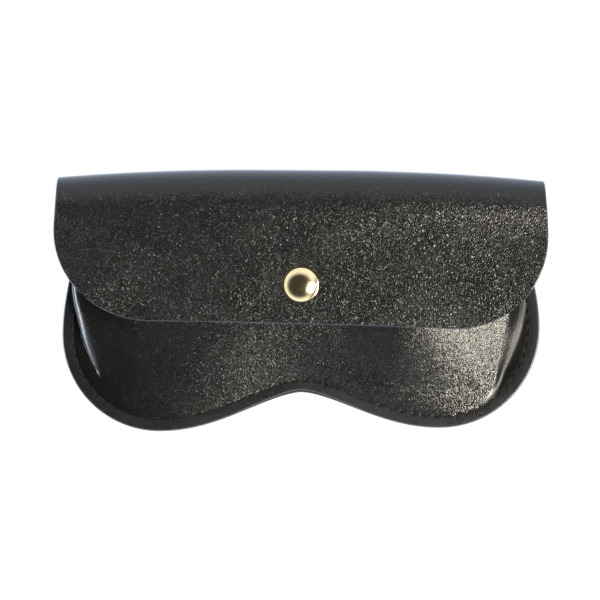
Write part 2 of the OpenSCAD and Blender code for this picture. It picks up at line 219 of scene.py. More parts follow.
def thicken(bm, plain_end=None):
    """Gives a flat panel its thickness, rounds its cut rim and marks grain, flesh and edge."""
    bmesh.ops.solidify(bm, geom=bm.faces[:], thickness=leather_t)
    bm.normal_update()
    highest = max(v.co.z for v in bm.verts)
    bmesh.ops.translate(bm, verts=bm.verts, vec=(0, 0, -highest))

    def flat(face):
        return abs(face.normal.z) > 0.9

    def at_plain_end(edge):
        return plain_end is not None and all(abs(v.co.y - plain_end) < hair for v in edge.verts)

    folded = [e for e in bm.edges if len(e.link_faces) == 2]
    rim = [e for e in folded if flat(e.link_faces[0]) != flat(e.link_faces[1])]
    for e in rim:
        if at_plain_end(e):
            e.smooth = False
    rounded = [e for e in rim if not at_plain_end(e)]
    bmesh.ops.bevel(bm, geom=rounded, offset=rim_round, offset_type="OFFSET", affect="EDGES",
                    segments=3, profile=0.5, material=-1)
    bm.normal_update()
    bm.verts.layers.float.new("stretched")
    bm.verts.layers.float.new("pressed")
    uv = bm.loops.layers.uv.new("pattern")
    for face in bm.faces:
        mid = face.calc_center_median()
        grain = mid.z > -hair
        flesh = mid.z < -leather_t + hair
        face.material_index = 0 if grain else 1 if flesh else 2
        face.smooth = True
        for loop in face.loops:
            loop[uv].uv = loop.vert.co.xy / pattern_size
    return bm


def skew(y):
    """How far the case leans to one side, as a slope: it isn't quite even."""
    return mix(pouch_skew, fold_skew, ramp(lobe_y, roll_y, y))


def end_share(x):
    """How much a place belongs to the ends of the roll, which hang lower than its middle."""
    return (max(0, abs(x) - level_half) / (fold_half - level_half)) ** 2


def rolled(x, s, depth):
    """Where a point of the flat pattern lies once the leather is rolled over the top."""
    share = end_share(x)
    sag = end_sag * share
    if s <= roll_y:
        y = s - sag * ramp(lobe_y, roll_y, s)
        return Vector((x, y + x * skew(s), depth))
    r = roll_r - end_droop * share
    top = math.pi + flap_tilt
    turn = min((s - roll_y) / roll_r, top)
    run = max(0, s - roll_y - top * roll_r)
    y = roll_y - sag + (r - depth) * math.sin(turn) - run * math.cos(flap_tilt)
    z = r - (r - depth) * math.cos(turn) - run * math.sin(flap_tilt)
    return Vector((x, y + x * fold_skew, z))


def roll_stretch(s):
    """How smooth the grain is drawn round the roll: 1 on its top, 0 on the flat leather."""
    turn = (s - roll_y) / roll_r
    return ramp(stretch_starts, stretch_full, turn) * ramp(stretch_ends, stretch_eases, turn)


edge_tree = kdtree.KDTree(len(edge_line))
for i, p in enumerate(edge_line):
    edge_tree.insert((p.x, p.y, 0), i)
edge_tree.balance()


def edge_near(x, y):
    """The nearest place on the cut edge, its way along the seam, and how far off it is."""
    here = Vector((abs(x), y))
    k = edge_tree.find((here.x, here.y, 0))[1]
    found = []
    for before in (max(k - 1, 0), min(k, len(edge_line) - 2)):
        start, end = edge_line[before], edge_line[before + 1]
        t = min(1, max(0, (here - start).dot(end - start) / (end - start).length_squared))
        spot = start.lerp(end, t)
        found.append(((here - spot).length, spot, mix(seam_run[before], seam_run[before + 1], t)))
    depth, spot, run = min(found, key=lambda f: f[0])
    return spot, run, depth


def seam_pull(x, y):
    """How much the stitches draw the leather in at a point: most at the needle holes."""
    _, run, depth = edge_near(x, y)
    if run > mouth_run:
        return 0
    beside = run / pitch
    hole = hump((beside - round(beside)) * pitch, hole_half)
    return hump(depth - seam_inset, groove_half) * mix(pull_between_holes, 1, hole)


def placed(name, bm, finishes):
    """Makes an object of a finished shape, with its finishes."""
    mesh = bpy.data.meshes.new(name)
    bm.to_mesh(mesh)
    bm.free()
    piece = bpy.data.objects.new(name, mesh)
    bpy.context.scene.collection.objects.link(piece)
    for finish in finishes:
        mesh.materials.append(finish)
    return piece


class Nodes:
    """The node tree of a finish, or of the room's light, wired by name."""

    def __init__(self, owner):
        owner.use_nodes = True
        self.owner = owner
        self.tree = owner.node_tree

    def add(self, kind, inputs=None, **settings):
        node = self.tree.nodes.new("ShaderNode" + kind)
        for key, value in settings.items():
            setattr(node, key, value)
        for key, value in (inputs or {}).items():
            self.feed(node.inputs[key], value)
        return node

    def feed(self, socket, value):
        if isinstance(value, bpy.types.NodeSocket):
            self.tree.links.new(value, socket)
        else:
            socket.default_value = value

    def math(self, operation, a, b=0.0):
        return self.add("Math", {0: a, 1: b}, operation=operation).outputs[0]

    def between(self, value, low, high, to_low=0.0, to_high=1.0):
        return self.add("MapRange", {"Value": value, "From Min": low, "From Max": high,
                                     "To Min": to_low, "To Max": to_high}).outputs["Result"]

    def colours(self, factor, *pair):
        """Two colours, written out or made by other nodes, mixed by a factor."""
        a, b = (c if isinstance(c, bpy.types.NodeSocket) else (*c, 1) for c in pair)
        return self.add("Mix", {"Factor": factor, 6: a, 7: b}, data_type="RGBA").outputs[2]

    def vector(self, operation, a, b):
        second = "Scale" if operation == "SCALE" else 1
        return self.add("VectorMath", {0: a, second: b}, operation=operation).outputs[0]

    def place(self, source):
        """Coordinates in metres, on the flat pattern or in the piece's own space."""
        found = self.add("TexCoord").outputs[source]
        return self.vector("SCALE", found, pattern_size) if source == "UV" else found

    def noise(self, at, size, detail=2.0, roughness=0.5):
        return self.add("TexNoise", {"Vector": at, "Scale": 1 / size, "Detail": detail,
                                     "Roughness": roughness}).outputs["Fac"]

    def surface(self, **sockets):
        shader = self.tree.nodes["Principled BSDF"]
        for key, value in sockets.items():
            self.feed(shader.inputs[key.replace("_", " ")], value)
        return self.owner


def new_finish(name):
    return Nodes(bpy.data.materials.new(name))


def grain_finish(name, source):
    """Glossy black cowhide: small pebbles between fine furrows, under a thin clear finish. Its colour has
    painted shade in the furrows and a painted bluish sheen where the leather is pressed.
    """
    pebble_size = 0.64 * mm
    small_size = 0.34 * mm
    facet_size = 0.46 * mm
    pore_size = 0.16 * mm
    patch_size = 14 * mm
    drift_size = 2.4 * mm
    drift_reach = 0.5 * mm
    grain_height = 0.055 * mm
    drawn_height = 0.01 * mm
    pressed_dull = 0.24
    middle = (0.5, 0.5, 0.5)
    n = new_finish(name)
    at = n.place(source)
    drift = n.add("TexNoise", {"Vector": at, "Scale": 1 / drift_size, "Detail": 2.0}).outputs["Color"]
    drift = n.vector("SCALE", n.vector("SUBTRACT", drift, middle), drift_reach)
    warped = n.vector("ADD", at, drift)
    drawn_out = n.add("Mapping", {"Vector": warped, "Rotation": (0, 0, 0.2),
                                  "Scale": (1, 0.8, 1)}).outputs[0]
    pebble = n.add("TexVoronoi", {"Vector": drawn_out, "Scale": 1 / pebble_size, "Smoothness": 0.4},
                   feature="SMOOTH_F1").outputs["Distance"]
    furrow = n.add("TexVoronoi", {"Vector": drawn_out, "Scale": 1 / pebble_size},
                   feature="DISTANCE_TO_EDGE").outputs["Distance"]
    small = n.add("TexVoronoi", {"Vector": warped, "Scale": 1 / small_size, "Smoothness": 0.5},
                  feature="SMOOTH_F1").outputs["Distance"]
    fine = n.noise(at, pore_size, 3.0, 0.6)
    patch = n.noise(at, patch_size, 3.0, 0.55)
    top = n.between(pebble, 0.75, 0.1)
    open_furrow = n.between(furrow, 0.0, 0.16)
    height = n.math("MULTIPLY", top, 0.75)
    height = n.math("ADD", height, n.math("MULTIPLY", open_furrow, 0.3))
    height = n.math("ADD", height, n.math("MULTIPLY", n.between(small, 0.7, 0.1), 0.3))
    height = n.math("ADD", height, n.math("MULTIPLY", fine, 0.22))
    smooth = n.add("Attribute", attribute_name="stretched").outputs["Fac"]
    height = n.math("MULTIPLY", height, n.between(smooth, 0.0, 1.0, grain_height, drawn_height))
    cell = n.add("TexVoronoi", {"Vector": warped, "Scale": 1 / facet_size}).outputs
    away = n.vector("SUBTRACT", warped, cell["Position"])
    lean = n.vector("SUBTRACT", cell["Color"], middle)
    facet = n.add("VectorMath", {0: away, 1: lean}, operation="DOT_PRODUCT").outputs["Value"]
    steep = n.add("SeparateXYZ", {0: cell["Color"]}).outputs[2]
    steep = n.between(steep, 0.0, 1.0, 0.06, 0.4)
    steep = n.math("MULTIPLY", steep, n.between(smooth, 0.0, 0.7, 1.0, 0.0))
    height = n.math("ADD", height, n.math("MULTIPLY", facet, steep))
    bump = n.add("Bump", {"Height": height, "Strength": 1.0, "Distance": 1.0}).outputs[0]
    worn = n.between(patch, 0.35, 0.65, -0.04, 0.05)
    rough = n.math("ADD", n.between(open_furrow, 0.0, 1.0, 0.34, 0.21), worn)
    rough = n.math("ADD", rough, n.math("MULTIPLY", smooth, -0.04))
    pressed = n.add("Attribute", attribute_name="pressed").outputs["Fac"]
    rough = n.math("ADD", rough, n.math("MULTIPLY", pressed, pressed_dull))
    # Painted shade: the base colour is darker in the furrows than on the pebble tops.
    colour = n.colours(open_furrow, (0.002, 0.002, 0.0022), (0.0045, 0.0045, 0.0046))
    # Painted reflection: where the leather is pressed, its colour is lifted to a bluish grey that stands in
    # for the pale room's sheen; the pressing itself only makes it duller.
    colour = n.colours(pressed, colour, (0.007, 0.0078, 0.011))
    return n.surface(Base_Color=colour, Roughness=rough, Normal=bump, Specular_IOR_Level=0.5)


def flesh_finish():
    """The undyed nap on the leather's inner side, dark grey and dull."""
    n = new_finish("leather_flesh_side")
    at = n.place("UV")
    fibre = n.noise(at, 0.35 * mm, 4.0, 0.7)
    patch = n.noise(at, 6 * mm, 3.0)
    mottle = n.math("ADD", n.math("MULTIPLY", fibre, 0.6), n.math("MULTIPLY", patch, 0.4))
    colour = n.colours(mottle, (0.012, 0.0115, 0.011), (0.045, 0.043, 0.041))
    bump = n.add("Bump", {"Height": fibre, "Strength": 1.0, "Distance": 0.12 * mm}).outputs[0]
    return n.surface(Base_Color=colour, Roughness=n.between(fibre, 0.3, 0.7, 0.95, 0.8), Normal=bump,
                     Specular_IOR_Level=0.2, Sheen_Weight=0.15, Sheen_Roughness=0.5)


def edge_finish():
    """The cut edge, sealed with black edge paint that leaves its fibres a little raised; its colour is
    lifted to a bluish grey as a painted highlight of the pale room along the edge.
    """
    n = new_finish("leather_cut_edge")
    at = n.place("Object")
    fibre = n.noise(at, 0.3 * mm, 3.0, 0.6)
    # Painted highlight: the black edge paint is lifted to a bluish grey, lightest on the raised fibres.
    colour = n.colours(fibre, (0.014, 0.015, 0.021), (0.036, 0.038, 0.055))
    bump = n.add("Bump", {"Height": fibre, "Strength": 1.0, "Distance": 0.03 * mm}).outputs[0]
    return n.surface(Base_Color=colour, Roughness=n.between(fibre, 0.3, 0.7, 0.24, 0.4), Normal=bump,
                     Coat_Weight=0.5, Coat_Roughness=0.15)


flesh_side = flesh_finish()
cut_edge = edge_finish()
seam_rows = [d * mm for d in (0, 0.7, 1.5, 2.3, 2.9, 3.35, 3.8, 4.25, 4.7)]
back_rows = seam_rows + [5.4 * mm, 6.4 * mm]
roll_rows = spread(0, 0.96, 24) + [0.98, 1.0]
apex = roll_y + roll_r * math.pi / 2
back = cut_panel(back_columns, back_rows, trim=lambda x: 0)
for s in [roll_y + (apex - roll_y) * share for share in roll_rows]:
    highest = max(v.co.y for v in back.verts)
    top_row = [e for e in back.edges if all(v.co.y > highest - weld for v in e.verts)]
    made = bmesh.ops.extrude_edge_only(back, edges=top_row)["geom"]
    for v in made:
        if isinstance(v, bmesh.types.BMVert):
            v.co.y = s
thicken(back, plain_end=apex)
stretched = back.verts.layers.float["stretched"]
for v in back.verts:
    depth = -v.co.z
    v[stretched] = roll_stretch(v.co.y)
    place = rolled(v.co.x, v.co.y, depth)
    place.z += groove_depth * seam_pull(v.co.x, v.co.y) * (1 - depth / leather_t)
    v.co = place
bmesh.ops.recalc_face_normals(back, faces=back.faces)
back_grain = grain_finish("leather_grain_back", "UV")
back_piece = placed("back_leather", back, [back_grain, flesh_side, cut_edge])
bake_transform(back_piece, "pouch", "fold", start=(0, roll_y, 0), end=(0, top_y, roll_r))
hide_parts("back_panel", "fold_strip")

# Flap: the same cut of leather, on from the top of the roll and down across
# the mouth. It has two large round corners and no seam; only the snap holds
# it, so it waves a little, stands off at the left and sags at the right.
flap_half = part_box("flap")[1].x
flap_low_y = top_y - 52.4 * mm
flap_corner_r = 32.5 * mm
flap_columns = 150
flap_rows = 90
flap_skew = -0.018
shoulder_l = 14 * mm
shoulder_round = 0.5 * mm
left_level = 1.1
right_level = 1.25
level_by = 0.8
off_roll_span = (0.05, 0.35)
right_sag = 0.5 * mm
sag_start = 9 * mm
sag_full = 62 * mm
sag_curve = 1.5
left_lift = 1.4 * mm
lift_start = -36 * mm
lift_full = -76 * mm
lift_kept = 0.5
lift_eases = (0.35, 0.8)
left_wave = 0.45 * mm
right_wave = 0.28 * mm
wave_change = 20 * mm
wave_across = 26 * mm
wave_along = 15 * mm
wave_pick = 3.7
held_r = 8 * mm
loose_r = 16 * mm
cap_share = 0.68
free_l = 41 * mm
roll_end = roll_y + (math.pi + flap_tilt) * roll_r
slope_top_y = roll_y - roll_r * math.sin(flap_tilt)
slope_top_z = roll_r + roll_r * math.cos(flap_tilt)
flap_end = roll_end + (slope_top_y - flap_low_y) / math.cos(flap_tilt)


def smooth_min(a, b, k):
    """The lower of two heights, with a rounded change from one to the other."""
    h = max(0, min(1, 0.5 + (b - a) / (2 * k)))
    return mix(b, a, h) - k * h * (1 - h)


def shoulder(s):
    """How far the leather lies below a round roll, where it eases from the top into the flap."""
    turn = min((s - roll_y) / roll_r, math.pi + flap_tilt)
    run = max(0, s - roll_end)
    y = roll_y + roll_r * math.sin(turn) - run * math.cos(flap_tilt)
    z = roll_r - roll_r * math.cos(turn) - run * math.sin(flap_tilt)
    up = min(1, max(0, (y - top_y + shoulder_l) / shoulder_l))
    arch = roll_r + roll_r * math.sqrt(1 - up**2)
    slope = slope_top_z + (y - slope_top_y) * math.tan(flap_tilt)
    return z - smooth_min(arch, slope, shoulder_round)


def resampled(line, count):
    """Points an even way apart along a line."""
    runs = [0.0]
    for before, after in zip(line[:-1], line[1:]):
        runs.append(runs[-1] + (after - before).length)
    found = []
    for i in range(count + 1):
        run = runs[-1] * i / count
        k = min(bisect_right(runs, run), len(runs) - 1) - 1
        found.append(line[k].lerp(line[k + 1], (run - runs[k]) / (runs[k + 1] - runs[k])))
    return found


def flap_lines(steps=60):
    """Right side of the flat flap and its free edge, which meet halfway round the corner."""
    corner = Vector((flap_half - flap_corner_r, flap_end - flap_corner_r, 0))
    narrow = roll_end - roll_r / 2
    shares = [i / steps for i in range(steps + 1)]
    side = [Vector((fold_half, apex, 0))]
    side += [Vector((mix(fold_half, flap_half, wave(t)), mix(narrow, corner.y, t), 0)) for t in shares]

    def bend(t):
        a = math.pi / 2 * t
        return corner + flap_corner_r * Vector((math.cos(a), math.sin(a), 0))

    side += [bend(t / 2) for t in shares[1:]]
    low = [bend(0.5 + t / 2) for t in shares]
    low = [Vector((-p.x, p.y, 0)) for p in low] + low[::-1]
    return resampled(side, flap_rows), resampled(low, flap_columns)


flap_side, flap_low = flap_lines()
flap = bmesh.new()
sheet = bmesh.ops.create_grid(flap, x_segments=flap_columns, y_segments=flap_rows, size=1)["verts"]
for v in sheet:
    i = round((v.co.x + 1) / 2 * flap_columns)
    j = round((v.co.y + 1) / 2 * flap_rows)
    u = i / flap_columns
    t = j / flap_rows
    right = flap_side[j]
    left = Vector((-right.x, right.y, 0))
    top = Vector((mix(-fold_half, fold_half, u), apex, 0))
    corner_x = mix(-1, 1, u) * mix(fold_half, flap_side[-1].x, t)
    corners = Vector((corner_x, mix(apex, flap_side[-1].y, t), 0))
    v.co = top.lerp(flap_low[i], t) + left.lerp(right, u) - corners
thicken(flap, plain_end=apex)
stretched = flap.verts.layers.float["stretched"]
for v in flap.verts:
    x, s, depth = v.co.x, v.co.y, -v.co.z
    v[stretched] = roll_stretch(s)
    free = min(1, max(0, (s - roll_end) / (flap_end - roll_end)))
    off_roll = ramp(*off_roll_span, free)
    place = rolled(x, s, depth)
    place.y += flap_skew * x * free
    place.z -= shoulder(s)
    if x > 0:
        place.z -= right_sag * ramp(sag_start, sag_full, x) * free**sag_curve
    level = left_level if x < 0 else right_level
    place.z += level * 2 * end_droop * end_share(x) * ramp(0, level_by, free)
    lifted = off_roll * mix(1, lift_kept, ramp(*lift_eases, free))
    place.z += left_lift * ramp(lift_start, lift_full, x) * lifted
    loose = off_roll * ramp(held_r, loose_r, math.hypot(x, (free - cap_share) * free_l))
    swell = noise.noise(Vector((x / wave_across, s / wave_along, wave_pick)))
    wave_height = mix(right_wave, left_wave, ramp(wave_change, -wave_change, x))
    place.z += wave_height * swell * loose
    v.co = place
bmesh.ops.recalc_face_normals(flap, faces=flap.faces)
flap_grain = grain_finish("leather_grain_flap", "UV")
flap_piece = placed("flap_leather", flap, [flap_grain, flesh_side, cut_edge])
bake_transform(flap_piece, "fold", "flap", start=(0, top_y, roll_r), end=(0, slope_top_y, slope_top_z))
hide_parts("flap")

# Front panel: a second cut of the same leather, wet-formed into a shallow
# bulge, rounded over at the left and creased at the right, with a flat seam
# margin trimmed just inside the back's edge. Its top edge is the mouth.
margin_z = 2 * leather_t
margin_low = 4.6 * mm
margin_left = 8.6 * mm
margin_right = 8.4 * mm
margin_mouth = 4.2 * mm
margin_widens = (0.1, 0.5)
margin_narrows = (0.6, 1.5)
low_rise = 0.45
face_ease = 8 * mm
wall_round = 4 * mm
wall_shift = 3 * mm
crease_round = 0.4 * mm
crease_in_low = 1.4 * mm
crease_in_high = 5.2 * mm
past_crease = 1.2
wall_foot = 0.8
turn_low = 4 * mm
turn_high = 8 * mm
left_stand = (0.15, 0.42)
right_stand = (0.04, 0.2)
left_tight = (1, 0.5)
right_tight = (1.05, 0.98)
foot_in = (-1 * mm, -0.3 * mm)
foot_up = (0.4, 0.2)
left_lean = 0.5
mouth_lean = 1.1
left_crown = 4.5 * mm
right_fall = 0.29
fall_start = 33 * mm
fall_full = 53 * mm
fall_at_mouth = 0.6
right_swell = 3.3 * mm
swell_full = 35 * mm
bow_at_toe = 0.35
bow_start_y = low_y + 6 * mm
bow_full_y = -6 * mm
snap_flat = 13 * mm
snap_stack = 4.1 * mm
snap_y = top_y - 38.6 * mm
seat_level = roll_r - leather_t - snap_stack
seat_along = (snap_y - roll_y + seat_level * math.sin(flap_tilt)) / math.cos(flap_tilt)
seat_z = roll_r + seat_along * math.sin(flap_tilt) + seat_level * math.cos(flap_tilt)
curve_y = snap_y - snap_flat / 2
toe_y = low_y + margin_low
stitch_pull = 0.12 * mm
press_full = 3.2 * mm
press_ends = 4.4 * mm
press_smooth = 0.55
seam_press_and_sheen = 0.5
drawn_smooth = 0.6
drawn_start = -34 * mm
drawn_full = -60 * mm
lean_start = -30 * mm
lean_full = -55 * mm
lean_change = 10 * mm
trim_change = 25 * mm
wall_rows = 38
wall_rows_end = 16.1 * mm


def slope_z(y):
    """Height of the front's face in line with the snap's seat, which tilts as the flap does."""
    return seat_z + (y - snap_y) * math.tan(flap_tilt)


face_fall = (slope_z(toe_y) - margin_z) / (math.hypot(curve_y - toe_y, face_ease) - face_ease)


def side_share(near):
    """How much an edge belongs to the steep sides, against the low lobes and the notch."""
    return ramp(lobe_x, lobe_x + lobe_r / 2, near.x)


def up_lobe(near, start, full):
    """How far up a lobe an edge lies, between two heights in shares of the lobe's radius."""
    return ramp(low_y + start * lobe_r, low_y + full * lobe_r, near.y)


def left_bow(x):
    """How far the face rounds down towards its left side."""
    return left_crown * (max(0, -x - snap_flat) / (pouch_half - snap_flat)) ** 2


def right_bow(x, y):
    """How far the face falls towards its right crease, past the swell beside the snap."""
    ease = min(x, fall_full) - fall_start
    fall = max(0, ease) ** 2 / (2 * (fall_full - fall_start)) + max(0, x - fall_full)
    at_mouth = ramp(0, mouth_y, y)
    bow = right_fall * fall * mix(1, fall_at_mouth, at_mouth)
    bow -= right_swell * ramp(snap_flat, swell_full, x) * (1 - at_mouth)
    return bow * mix(bow_at_toe, 1, ramp(bow_start_y, bow_full_y, y))


def front_form(x, y):
    """Height of the front's grain side, where margin, wall and face run into each other,
    how smooth the grain is stretched there, and how flat the seam has pressed it,
    which also sets a painted bluish sheen on its colour."""
    left = x < 0
    near, _, depth = edge_near(x, y)
    side = side_share(near)
    wide = mix(margin_left if left else margin_right, margin_mouth, up_lobe(near, *margin_narrows))
    margin = mix(margin_low, wide, side * up_lobe(near, *margin_widens))
    rise = depth - margin
    inward = max(0, rise)
    stand = side * up_lobe(near, *(left_stand if left else right_stand))
    drop = face_fall * (math.hypot(max(0, curve_y - y), face_ease) - face_ease)
    bow = left_bow(x) if left else right_bow(x, y)
    face = slope_z(y) - drop - bow - margin_z
    high = ramp(low_y + wall_shift, lobe_y + wall_shift, near.y)
    if left:
        up = min(1, inward / mix(turn_low, turn_high, high))
        wall = face * math.sqrt(up * (2 - up))
        tight = stand * ramp(*left_tight, up)
    else:
        crease_in = mix(crease_in_low, crease_in_high, high)
        up = min(past_crease, inward / crease_in)
        wall = (face + right_fall * max(0, crease_in - inward)) * up * mix(wall_foot, 1, up)
        tight = stand * ramp(*right_tight, up)
    wall = mix(low_rise * inward, wall, stand)
    round_off = mix(wall_round, crease_round, stand)
    raised = max(0, smooth_min(face, wall, min(round_off, max(hair, wall))))
    in_seam = ramp(press_ends, press_full, depth)
    smooth = max(press_smooth * in_seam, tight, drawn_smooth * ramp(drawn_start, drawn_full, x))
    pressed = seam_press_and_sheen * in_seam
    # The right wall's foot is pressed dull too, and its colour gets the same painted bluish sheen.
    if not left:
        foot = stand * ramp(*foot_in, rise) * ramp(*foot_up, up)
        pressed = max(pressed, foot)
    return margin_z + raised, smooth, pressed


def front_height(x, y):
    return front_form(x, y)[0]


def front_place(x, y, sunk=0.0, depth=0.0):
    """A point of the formed front, a way into the leather, and the direction out of it."""
    step = 0.25 * mm
    height = front_height(x, y)
    across = (front_height(x + step, y) - front_height(x - step, y)) / (2 * step)
    along = (front_height(x, y + step) - front_height(x, y - step)) / (2 * step)
    out = Vector((-across, -along, 1)).normalized()
    place = Vector((x, y, height - sunk)) - depth * out
    near = edge_near(x, y)[0]
    lean = mix(left_lean, mouth_lean, ramp(-lean_change, lean_change, near.y))
    lean *= up_lobe(near, *left_stand) * ramp(lean_start, lean_full, x)
    place.x -= lean * (height - margin_z)
    place.y += x * skew(y)
    return place, out


def trimmed(x):
    """How far the front's cut edge lies inside the back's: most in the nose notch."""
    return mix(3 * front_trim, front_trim, ramp(0, trim_change, x))


front_rows = seam_rows + spread(seam_rows[-1], wall_rows_end, wall_rows)
front = cut_panel(front_columns, front_rows, trim=trimmed)
thicken(front)
stretched = front.verts.layers.float["stretched"]
pressed = front.verts.layers.float["pressed"]
for v in front.verts:
    depth = -v.co.z
    v[stretched], v[pressed] = front_form(v.co.x, v.co.y)[1:]
    sunk = stitch_pull * seam_pull(v.co.x, v.co.y) * (1 - depth / leather_t)
    v.co = front_place(v.co.x, v.co.y, sunk, depth)[0]
front_grain = grain_finish("leather_grain_front", "Object")
front_piece = placed("front_leather", front, [front_grain, flesh_side, cut_edge])
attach(front_piece, "pouch")
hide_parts("front_panel")

# Needle thread: black waxed two-ply thread, machine sewn. Each stitch lies on
# the front from one needle hole to the next and is drawn into both.
thread_r = 0.36 * mm
stitch_rise = 0.3 * mm
stitch_dip = 0.42 * mm
stitch_sides = 8
stitch_rings = 7
stitch_gap = 0.03
stitch_full = 0.7
needle_sunk = 0.2 * mm
end_thin = 0.75
ply_bulge = 0.22
ply_turns = 0.75


def seam_spot(run, side):
    """A place on the seam, on the left (-1) or the right (1)."""
    edge, out = edge_at(run)
    p = edge - seam_inset * out
    return side * p.x, p.y


def sew(bm, run, side, lie):
    """One stitch: a short twisted rod of thread, bent down into its two holes."""
    step = 0.05 * mm
    rod = bmesh.ops.create_cone(bm, cap_ends=True, segments=stitch_sides, radius1=1, radius2=1,
                                depth=1)["verts"]
    rod_edges = [e for v in rod for e in v.link_edges]
    long_edges = {e for e in rod_edges if abs(e.verts[0].co.z - e.verts[1].co.z) > 0.5}
    bmesh.ops.subdivide_edges(bm, edges=list(long_edges), cuts=stitch_rings, use_grid_fill=True)
    for v in bm.verts:
        if v.tag:
            continue
        v.tag = True
        t = v.co.z + 0.5
        at = run + mix(stitch_gap, 1 - stitch_gap, t) * pitch
        place, out = lie(*seam_spot(at, side))
        ahead = lie(*seam_spot(at + step, side))[0]
        along = (ahead - place).normalized()
        beside = along.cross(out)
        angle = math.atan2(v.co.y, v.co.x)
        twist = 2 * math.pi * ply_turns * t
        arch = math.sin(math.pi * t)
        thick = thread_r * (1 + ply_bulge * math.cos(2 * (angle - twist))) * mix(end_thin, 1, arch)
        lift = mix(-stitch_dip, stitch_rise, arch**stitch_full)
        v.co = place + lift * out + thick * (math.cos(angle) * beside + math.sin(angle) * out)


def thread_finish(name):
    """Waxed black thread with its fibres just raised."""
    n = new_finish(name)
    at = n.place("Object")
    fibre = n.noise(at, 0.12 * mm, 3.0, 0.65)
    colour = n.colours(fibre, (0.004, 0.004, 0.0045), (0.016, 0.016, 0.017))
    bump = n.add("Bump", {"Height": fibre, "Strength": 1.0, "Distance": 0.04 * mm}).outputs[0]
    return n.surface(Base_Color=colour, Roughness=n.between(fibre, 0.3, 0.7, 0.85, 0.65), Normal=bump,
                     Specular_IOR_Level=0.15)


def seam(name, lie):
    """All stitches on one side of the leather, laid as that side lies."""
    bm = bmesh.new()
    for side in (-1, 1):
        for k in range(half_stitches):
            sew(bm, k * pitch, side, lie)
    bmesh.ops.recalc_face_normals(bm, faces=bm.faces)
    for face in bm.faces:
        face.smooth = True
    piece = placed(name, bm, [thread_finish(name + "_finish")])
    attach(piece, "pouch")
    return piece


needle_seam = seam("needle_stitches", lambda x, y: front_place(x, y, needle_sunk))
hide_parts("needle_thread")

# Bobbin thread: the same thread on the back of the seam, laid in a pressed
# groove so that the case lies flat.
bobbin_sunk = 0.42 * mm


def back_lie(x, y):
    return Vector((x, y + x * skew(y), bobbin_sunk)), Vector((0, 0, -1))


bobbin_seam = seam("bobbin_stitches", back_lie)
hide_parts("bobbin_thread")

# Snap cap: a domed brass shell, polished and gilt, with a hollow post that
# goes through the flap and is spread open inside the socket.
snap_axis = Matrix.Translation((0, snap_y, seat_z)) @ Matrix.Rotation(flap_tilt, 4, "X")
flap_top = snap_stack + leather_t
cap_r = 6.25 * mm
cap_h = 2 * mm
post_r = 1.7 * mm
bore_r = 1.2 * mm
bore_top = flap_top + 0.5 * mm
clench_r = 2.3 * mm
cap_rim = 0.16 * mm
turned_steps = 64
crisp = math.radians(50)


def turned(name, outline, finish, body, node, closed=False):
    """A piece of the snap: its section, in radius and height, spun round the snap's axis."""
    bm = bmesh.new()
    ring = [bm.verts.new((r, 0, h)) for r, h in outline]
    edges = [bm.edges.new(pair) for pair in zip(ring, ring[1:] + ring[:1] if closed else ring[1:])]
    bmesh.ops.spin(bm, geom=ring + edges, cent=(0, 0, 0), axis=(0, 0, 1), angle=2 * math.pi,
                   steps=turned_steps, use_merge=True)
    bmesh.ops.remove_doubles(bm, verts=bm.verts, dist=weld)
    bmesh.ops.recalc_face_normals(bm, faces=bm.faces)
    for face in bm.faces:
        face.smooth = True
    for e in bm.edges:
        if len(e.link_faces) == 2 and e.calc_face_angle() > crisp:
            e.smooth = False
    bmesh.ops.transform(bm, matrix=snap_axis, verts=bm.verts)
    piece = placed(name, bm, [finish])
    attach(piece, body)
    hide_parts(node)
    return piece


def brass_finish(name, colour, rough):
    """Polished metal, as gilt brass, with fine polishing marks and a little tarnish."""
    n = new_finish(name)
    at = n.place("Object")
    marks = n.add("Mapping", {"Vector": at, "Rotation": (0, 0, 0.5),
                              "Scale": (1, 0.06, 1)}).outputs[0]
    marks = n.noise(marks, 0.05 * mm, 2.0)
    tarnish = n.noise(at, 1.6 * mm, 3.0, 0.6)
    shade = n.colours(n.between(tarnish, 0.3, 0.75), colour, [c * 0.86 for c in colour])
    gloss = n.math("ADD", n.between(tarnish, 0.3, 0.7, rough, rough + 0.06),
                   n.between(marks, 0.4, 0.7, 0, 0.05))
    bump = n.add("Bump", {"Height": marks, "Strength": 0.2, "Distance": 0.004 * mm}).outputs[0]
    return n.surface(Base_Color=shade, Metallic=1.0, Roughness=gloss, Normal=bump)


def arc(r, h, size, start, end, steps=6):
    """Points of a round in a section, from one angle to another in degrees."""
    turns = [math.radians(mix(start, end, i / steps)) for i in range(steps + 1)]
    return [(r + size * math.cos(a), h + size * math.sin(a)) for a in turns]


gold = (0.95, 0.83, 0.5)
dome_r = 10.4 * mm
dome_steps = 14
dome_edge = cap_r - 0.35 * mm
dome_turns = [math.asin(dome_edge / dome_r) * i / dome_steps for i in range(dome_steps + 1)]
dome = [(dome_r * math.sin(a), flap_top + cap_h - dome_r * (1 - math.cos(a))) for a in dome_turns]
cap_outline = [*dome, *arc(cap_r - cap_rim, flap_top + cap_rim, cap_rim, 30, -90),
               (post_r, flap_top), (post_r, snap_stack - 0.6 * mm),
               (clench_r, snap_stack - 0.7 * mm), (clench_r, snap_stack - 0.95 * mm),
               (bore_r, snap_stack - 0.85 * mm), (bore_r, bore_top), (0, bore_top)]
bright_brass = brass_finish("gilt_brass_cap", gold, 0.1)
turned("cap", cap_outline, bright_brass, "flap", "snap_cap")

# Socket: a pressed brass cup under the flap, clamped to the leather by the
# cap's post. Its lip keeps the ring spring in.
plain_brass = brass_finish("gilt_brass_inner", gold, 0.2)


def drawn(*section):
    """A section drawn in millimetres."""
    return [(r * mm, h * mm) for r, h in section]


